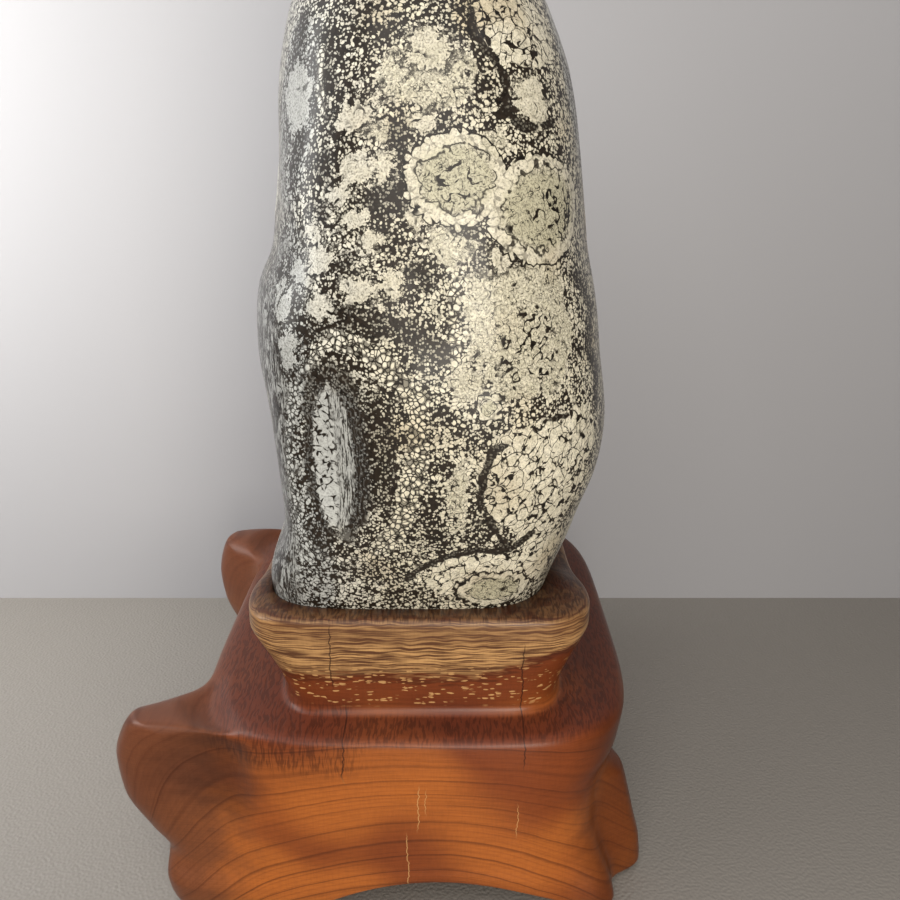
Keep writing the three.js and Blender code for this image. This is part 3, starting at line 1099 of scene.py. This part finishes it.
@dataclass(frozen=True)
class Band:
    """A part of the stand that the wood's finish treats apart, between some of its rings."""

    name: str
    rings: tuple[float, float, float, float]
    nest: float = 0.0
    all_round: bool = True

    def share(self, place: Array) -> Array:
        """0 before the first ring, 1 from the second to the third, 0 again after the fourth."""
        start, full, fade, end = self.rings
        return smooth(place, start, full) * smooth(-place, -end, -fade)


@dataclass
class Stand:
    """The carved block: one skin from the underside, over the feet and collar, into the socket."""

    stone: Stone
    axis_x: float = 15.0
    crowding: float = 0.5
    arch_middle: float = 24.0
    arch_half: float = 60.0
    side_arch_half: float = 62.0
    arch_starts: tuple[float, float] = (50.0, 85.0)
    side_arch_starts: tuple[float, float] = (45.0, 75.0)
    collar_rings: int = 7
    side_width: float = 0.62
    side_power: int = 6
    around: int = 300
    steps: int = 14
    nest_gap: float = 0.5
    nest_floor: float = 103.5
    nest_middle: float = 103.2
    nest_sag: float = 0.35
    nest_above: float = 0.05
    nest_rows: tuple[float, ...] = (0.0, 0.004, 0.02, 0.06, 0.16, 0.4, 0.7, 1.0)
    hollow_top: float = 23.0
    # Where the painted crease shade lies around the axis, and how wide it is
    cleft_angle: float = 235.0
    cleft_half: float = 5.0
    bands: tuple[Band, ...] = (
        Band("rim", (0.0, 0.5, 1.2, 2.0), nest=1.0),
        Band("ledge", (5.4, 6.2, 7.2, 8.6)),
        # The third band carries painted shade along the crease beside the knob
        Band("cleft_shade", (8.2, 9.4, 11.0, 13.0), all_round=False))
    rings: tuple[Ring, ...] = (
        Ring(137, 54, 50, 80, 80, 6, 0, 2, 9),
        Ring(137, 68, 71.5, 95, 95, 7, 0, 4, 9),
        Ring(134.5, 71.5, 75, 97.5, 97.5, 8, 0, 4, 9),
        Ring(128, 71.5, 75, 98, 97.5, 8, 0, 4, 8),
        Ring(104, 60, 65, 94.5, 94, 8, 0, 2, 4),
        Ring(95, 57.5, 62.5, 94, 93, 8, 0, 1, 0),
        Ring(91, 61, 65, 97, 96, 7, 0, 1, 0),
        Ring(90.5, 84, 86, 108, 108, 4.8),
        Ring(88.5, 93, 92.5, 112, 112, 4.5),
        Ring(84, 95.5, 94.5, 113, 113, 4.5),
        Ring(72, 96, 92.5, 113.5, 113.5, 4.5),
        Ring(56, 96, 86, 113.5, 113.5, 4.5),
        Ring(48, 95.5, 84, 113.5, 113.5, 4.8),
        Ring(36, 95, 83.5, 113.5, 113.5, 4.8, 1),
        Ring(24, 94.5, 85.5, 113.5, 113.5, 4.8, 5),
        Ring(13, 95, 89, 114, 114.5, 4.8, 11),
        Ring(4, 95, 91, 113.5, 114, 4.8, 17),
        Ring(0, 91, 88, 110, 110, 4.8, 20),
        Ring(0, 72, 80, 88, 88, 4, 21),
        Ring(20, 60, 56, 76, 76, 3.2))
    lobes: tuple[Lobe, ...] = (
        Lobe(224.5, 8.6, 2.8, 187, ((8, 3), (9, 16), (10, 30), (11, 40), (12, 38), (13, 28),
             (14, 17), (15, 9), (16, 6), (17, 4)), ((8, -4), (9, 4), (10, 16), (11, 13), (12, 5))),
        Lobe(234, 3, 2, 50, ((9, 2), (10, 5), (11, 5), (12, 3), (13, 1))),
        Lobe(228, 9, 2.6, 212, ((13, 2), (14, 6), (15, 16), (16, 17), (17, 15), (18, 6))),
        Lobe(136.5, 9.4, 2.9, 171, ((8, 4), (9, 16), (10, 28), (11, 35), (12, 33), (13, 24),
             (14, 15), (15, 8), (16, 6), (17, 4)), ((8, -1), (9, 8), (10, 19), (11, 14), (12, 6))),
        Lobe(131, 9, 2.6, 148, ((13, 2), (14, 6), (15, 16), (16, 17), (17, 15), (18, 6))),
        Lobe(307, 5, 2.4, 325, ((13, 1), (14, 4), (15, 8), (16, 10), (17, 10))),
        Lobe(320, 6, 3, 345, ((11, 3), (12, 11), (13, 15), (14, 16), (15, 15.5), (16, 14.5),
             (17, 13), (18, 4))),
        Lobe(40, 8, 3, 8, ((12, 6), (13, 11), (14, 13), (15, 13), (16, 13), (17, 12), (18, 4))))

    def side_share(self, angle: Array) -> Array:
        """1 beside the stone, 0 in front of it and behind it."""
        return np.exp(-np.abs(np.sin(angle) / self.side_width) ** self.side_power)

    def arch_lift(self, x: Array, y: Array) -> Array:
        """How much of an arch there is over a point of the foot, from 0 to 1.

        Formula: a parabola across the front and back, and one across each side, each only near
        its own side.

        Args:
            x, y: the point, mm.

        Returns:
            The share of the arch's height.
        """
        ends = np.clip(1.0 - ((x - self.arch_middle) / self.arch_half) ** 2, 0.0, 1.0)
        sides = np.clip(1.0 - (y / self.side_arch_half) ** 2, 0.0, 1.0)
        ends = ends * smooth(np.abs(y), *self.arch_starts)
        sides = sides * smooth(np.abs(x - self.axis_x), *self.side_arch_starts)
        return np.minimum(ends + sides, 1.0)

    def ring_points(self, index: int, angle: Array) -> Array:
        """One ring of the skin.

        Formula: an oblong, drawn in and lowered beside the stone on the collar, lifted by the
        arches, then pushed out by each lobe along that lobe's own way.

        Args:
            index: the ring, from the top.
            angle: directions around the axis.

        Returns:
            The points, mm.
        """
        ring = self.rings[index]
        r = oblong(angle, ring.left, ring.right, ring.front, ring.back, ring.square, ring.square)
        z = np.full_like(angle, ring.height)
        if index < self.collar_rings:
            side = self.side_share(angle)
            r = r - np.where(np.cos(angle) > 0, side * ring.draw_in, 0.0)
            z = z - side * ring.drop
        x, y = self.axis_x + r * np.cos(angle), r * np.sin(angle)
        z = z + ring.lift * self.arch_lift(x, y)
        for lobe in self.lobes:
            off = turn_between(angle, math.radians(lobe.angle)) / math.radians(lobe.half)
            share = np.exp(-np.abs(off) ** lobe.power)
            out, way = dict(lobe.out).get(index, 0.0) * share, math.radians(lobe.way)
            x, y = x + out * math.cos(way), y + out * math.sin(way)
            z = z + dict(lobe.up).get(index, 0.0) * share
        return np.stack([x, y, z], -1)

    def skin(self, angle: Array) -> tuple[Array, Array]:
        """The outside, from the collar's rim to the hollow underneath.

        Formula: a cubic from ring to ring whose slope at a ring is the harmonic mean of the
        steps before and after it, and none where the skin turns back.

        Args:
            angle: directions around the axis.

        Returns:
            The rows of points, and each row's place counted in rings.
        """
        rings = np.stack([self.ring_points(k, angle) for k in range(len(self.rings))])
        step = np.diff(rings, axis=0)
        before, after = step[:-1], step[1:]
        turning = before * after <= 0
        eased = np.where(turning, 0.0, 2 * before * after / np.where(turning, 1.0, before + after))
        slopes = np.concatenate([step[:1], eased, step[-1:]])
        place = np.linspace(1.0, len(rings) - 1.0, (len(rings) - 2) * self.steps + 1)
        i = np.minimum(place.astype(int), len(rings) - 2)
        t = (place - i)[:, None, None]
        return hermite(rings[i], rings[i + 1], slopes[i], slopes[i + 1], t), place

    def socket(self, angle: Array) -> Array:
        """The nest that the stone stands in, from its middle outwards and up to the rim.

        Formula: the stone's own surface, let out by a small gap.

        Args:
            angle: directions around the stone's axis.

        Returns:
            The rows of points.
        """
        rim = self.rings[0].height - self.rings[0].drop * self.side_share(angle)
        rows = []
        lowest = self.stone.bottom + self.nest_above
        for share in self.nest_rows:
            height = self.nest_floor + (rim - self.nest_floor) * share
            r = self.stone.radius(angle, np.maximum(height, lowest)) + self.nest_gap
            x, y = self.stone.axis_x + r * np.cos(angle), r * np.sin(angle)
            rows.append(np.stack([x, y, height - self.nest_sag * (1.0 - share)], -1))
        return np.stack(rows)

    def build(self) -> bpy.types.Object:
        """Makes the stand's mesh, with its bands as attributes.

        Formula: angles crowd towards the four corners.

        Returns:
            The stand.
        """
        u = np.linspace(0.0, TURN, self.around, endpoint=False)
        angle = u + self.crowding * np.sin(4.0 * u) / 4.0
        outside, place = self.skin(angle)
        nest = self.socket(angle)
        rows = np.concatenate([outside[::-1], nest[::-1]])
        under = np.array([self.axis_x, 0.0, self.hollow_top])
        middle = np.array([self.stone.axis_x, 0.0, self.nest_middle])
        made = closed_skin("carved_stand", rows, under, middle)
        # How far around from the crease that gets painted shade
        off = turn_between(angle, math.radians(self.cleft_angle)) / math.radians(self.cleft_half)
        for band in self.bands:
            down = np.concatenate([band.share(place[::-1]), np.full(len(nest), band.nest)])
            across = np.ones(self.around) if band.all_round else np.exp(-off ** 2)
            write_share(made, band.name, down[:, None] * across, 0.0, band.nest)
        made.data.materials.append(WoodFinish().make())
        return made


# Studio


@dataclass(frozen=True)
class Lamp:
    """A soft square light: its place and what it points at in metres, its side and its watts."""

    name: str
    place: Place
    aim: Place
    side: float
    watts: float
    colour: Colour


@dataclass
class Studio:
    """Pale floor and wall, soft lights and the camera of the photograph."""

    eye: Place = (0.0295, -0.420, 0.320)
    look_down: float = 19.0
    focal: float = 36.6
    sensor: float = 36.0
    clip: float = 0.01
    wall_y: float = 0.178
    wall_top: float = 2.5
    reach: float = 3.0
    floor_z: float = -0.0004
    floor_tone: Colour = rgb(130, 125, 119)
    wall_tone: Colour = rgb(158, 157, 160)
    sky_tone: Colour = rgb(236, 238, 244)
    sky_strength: float = 0.15
    lamps: tuple[Lamp, ...] = (
        Lamp("left_window", (-0.70, -0.15, 0.70), (0.0, 0.0, 0.2), 0.8, 3.0, (0.93, 0.96, 1.0)),
        Lamp("top_panel", (0.05, -0.25, 1.05), (0.02, 0.0, 0.15), 0.7, 1.5, (1.0, 0.98, 0.95)),
        Lamp("front_opening", (-0.02, -0.86, 0.8), (0.02, 0.0, 0.15), 0.8, 6.8, (1.0, 0.96, 0.9)),
        Lamp("front_lamp", (0.16, -0.72, 0.26), (0.05, -0.1, 0.2), 0.3, 3.2, (1.0, 0.94, 0.84)),
        Lamp("wall_glow", (-0.47, -0.04, 0.42), (-0.38, 0.18, 0.36), 0.42, 3.3, (1.0, 1.0, 0.97)))

    def camera(self) -> bpy.types.Object:
        """The camera, where the photograph was taken from.

        Returns:
            The camera object.
        """
        data = bpy.data.cameras.new("camera")
        data.lens, data.sensor_width, data.clip_start = self.focal, self.sensor, self.clip
        made = bpy.data.objects.new("camera", data)
        made.location = self.eye
        made.rotation_euler = (math.radians(90.0 - self.look_down), 0.0, 0.0)
        bpy.context.scene.collection.objects.link(made)
        bpy.context.scene.camera = made
        return made

    def floor(self) -> bpy.types.Object:
        """A wide sheet with a finely pebbled surface, reaching past the wall.

        Returns:
            The floor.
        """
        far, z = self.reach, self.floor_z
        corners = [(-far, -far, z), (far, -far, z), (far, far, z), (-far, far, z)]
        made = self._sheet("studio_floor", corners)
        b = Bench("floor_finish")
        pebbled = b.cloud(b.place(), 1.5, 0.0)
        made.data.materials.append(b.close(self.floor_tone, 0.45, pebbled, 0.3))
        return made

    def wall(self) -> bpy.types.Object:
        """The wall behind, which can be looked through from its back.

        Returns:
            The wall.
        """
        far, y, foot, top = self.reach, self.wall_y, -MM, self.wall_top
        corners = [(-far, y, foot), (far, y, foot), (far, y, top), (-far, y, top)]
        made = self._sheet("studio_wall", corners)
        finish = Bench("wall_finish").close(self.wall_tone, 0.7, clear_behind=True)
        made.data.materials.append(finish)
        return made

    def _sheet(self, name: str, corners: list[Place]) -> bpy.types.Object:
        """Makes one flat face for the set.

        Args:
            name: its name.
            corners: its four corners in metres.

        Returns:
            The new object.
        """
        mesh = bpy.data.meshes.new(name)
        mesh.from_pydata(corners, [], [(0, 1, 2, 3)])
        made = add_object(name, mesh)
        return made

    def light(self, lamp: Lamp) -> None:
        """Hangs a light that the camera doesn't see.

        Args:
            lamp: what it is like.
        """
        data = bpy.data.lights.new(lamp.name, "AREA")
        data.shape, data.size = "SQUARE", lamp.side
        data.energy, data.color = lamp.watts, lamp.colour
        made = bpy.data.objects.new(lamp.name, data)
        made.location = lamp.place
        x, y, z = np.array(lamp.aim) - np.array(lamp.place)
        tilt, turn = math.atan2(math.hypot(x, y), -z), math.atan2(y, x) - math.pi / 2
        made.rotation_euler = (tilt, 0.0, turn)
        made.visible_camera = False
        bpy.context.scene.collection.objects.link(made)

    def build(self) -> None:
        """Sets up everything around the object."""
        self.camera()
        self.floor()
        self.wall()
        for lamp in self.lamps:
            self.light(lamp)
        world = bpy.data.worlds.new("studio_world")
        world.use_nodes = True
        sky = world.node_tree.nodes["Background"]
        sky.inputs["Color"].default_value = (*self.sky_tone, 1.0)
        sky.inputs["Strength"].default_value = self.sky_strength
        scene = bpy.context.scene
        scene.world = world
        scene.view_settings.view_transform = "Standard"


def main() -> None:
    """Builds the stone, the stand and the studio."""
    logging.basicConfig(level=logging.INFO, format="%(name)s: %(message)s")
    Studio().build()
    stone = Stone()
    for maker, node, slot in ((stone, "stone", "stone"), (Stand(stone), "stand", "wood")):
        piece = maker.build()
        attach(piece, "root")
        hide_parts(node)
        LOG.info("%s: %d faces", piece.name, len(piece.data.polygons))


if __name__ == "__main__":
    main()
